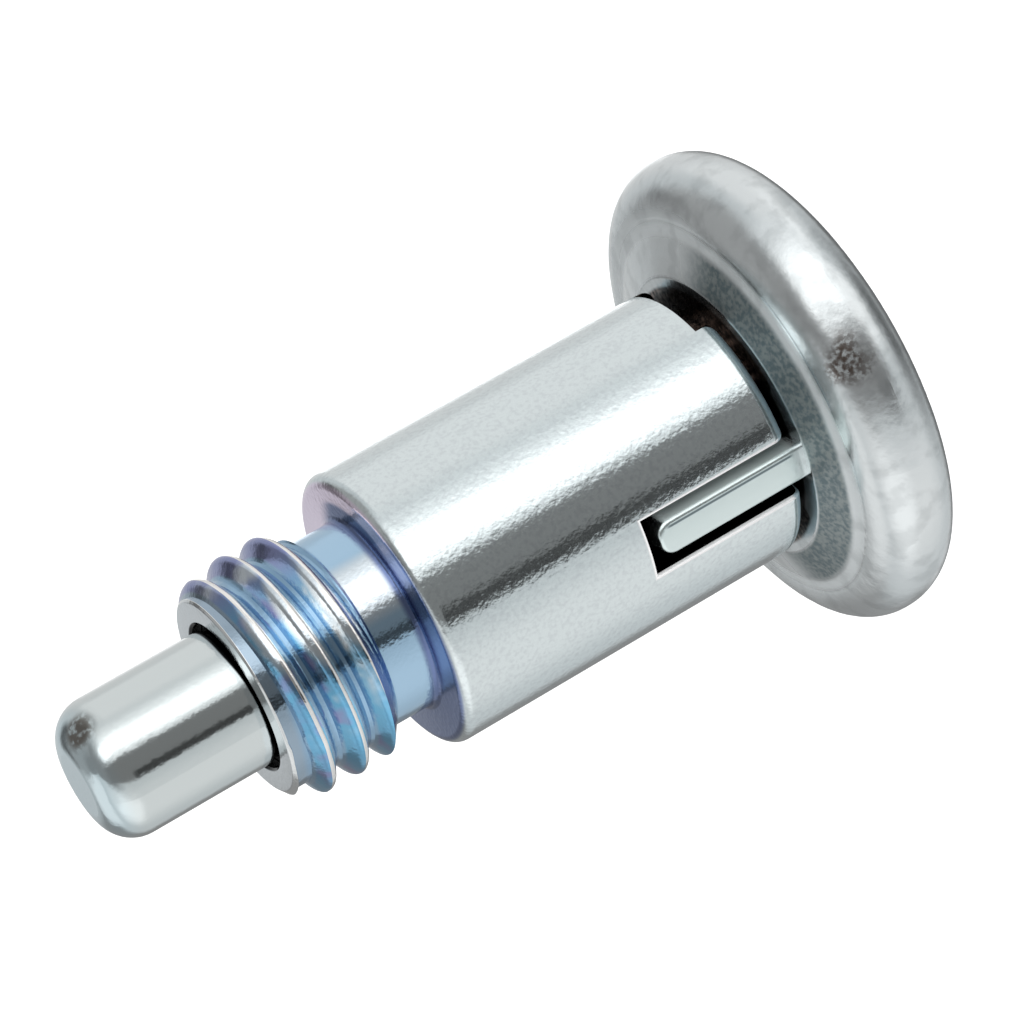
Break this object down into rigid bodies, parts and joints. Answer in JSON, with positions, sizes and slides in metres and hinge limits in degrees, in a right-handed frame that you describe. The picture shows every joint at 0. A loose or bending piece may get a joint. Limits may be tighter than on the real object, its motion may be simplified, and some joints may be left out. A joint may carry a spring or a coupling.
{
  "type": "indexing plunger",
  "caption": "Screw-in indexing plunger: threaded nose with a spring-loaded locking pin, slotted round body and a mushroom pull knob with an open rest position.",
  "frame": {"origin": "centre of the mounting shoulder's face, on the plunger's axis", "axes": "+Z along the axis, out through the locking pin; +X through one of the two ribs and deep slots"},
  "size_m": [0.0208, 0.0208, 0.0358],
  "materials": {
    "plated_steel": "bright zinc plate with a blue passivation, turned",
    "ground_steel": "ground and plated, satin",
    "spring_wire": "drawn spring wire",
    "cast_zinc": "die-cast and tumbled, slightly rough"
  },
  "bodies": {
    "housing": {"housing": "plated_steel", "return_spring": "spring_wire"},
    "plunger": {"index_pin": "ground_steel", "pull_knob": "cast_zinc"}
  },
  "joints": [
    {"name": "pull", "type": "slide", "parent": "housing", "child": "plunger", "axis": [0, 0, -1], "range_m": [0, 0.007], "stiffness_N_per_m": 1200, "springref_m": -0.004, "deforming": ["return_spring"]}
  ]
}
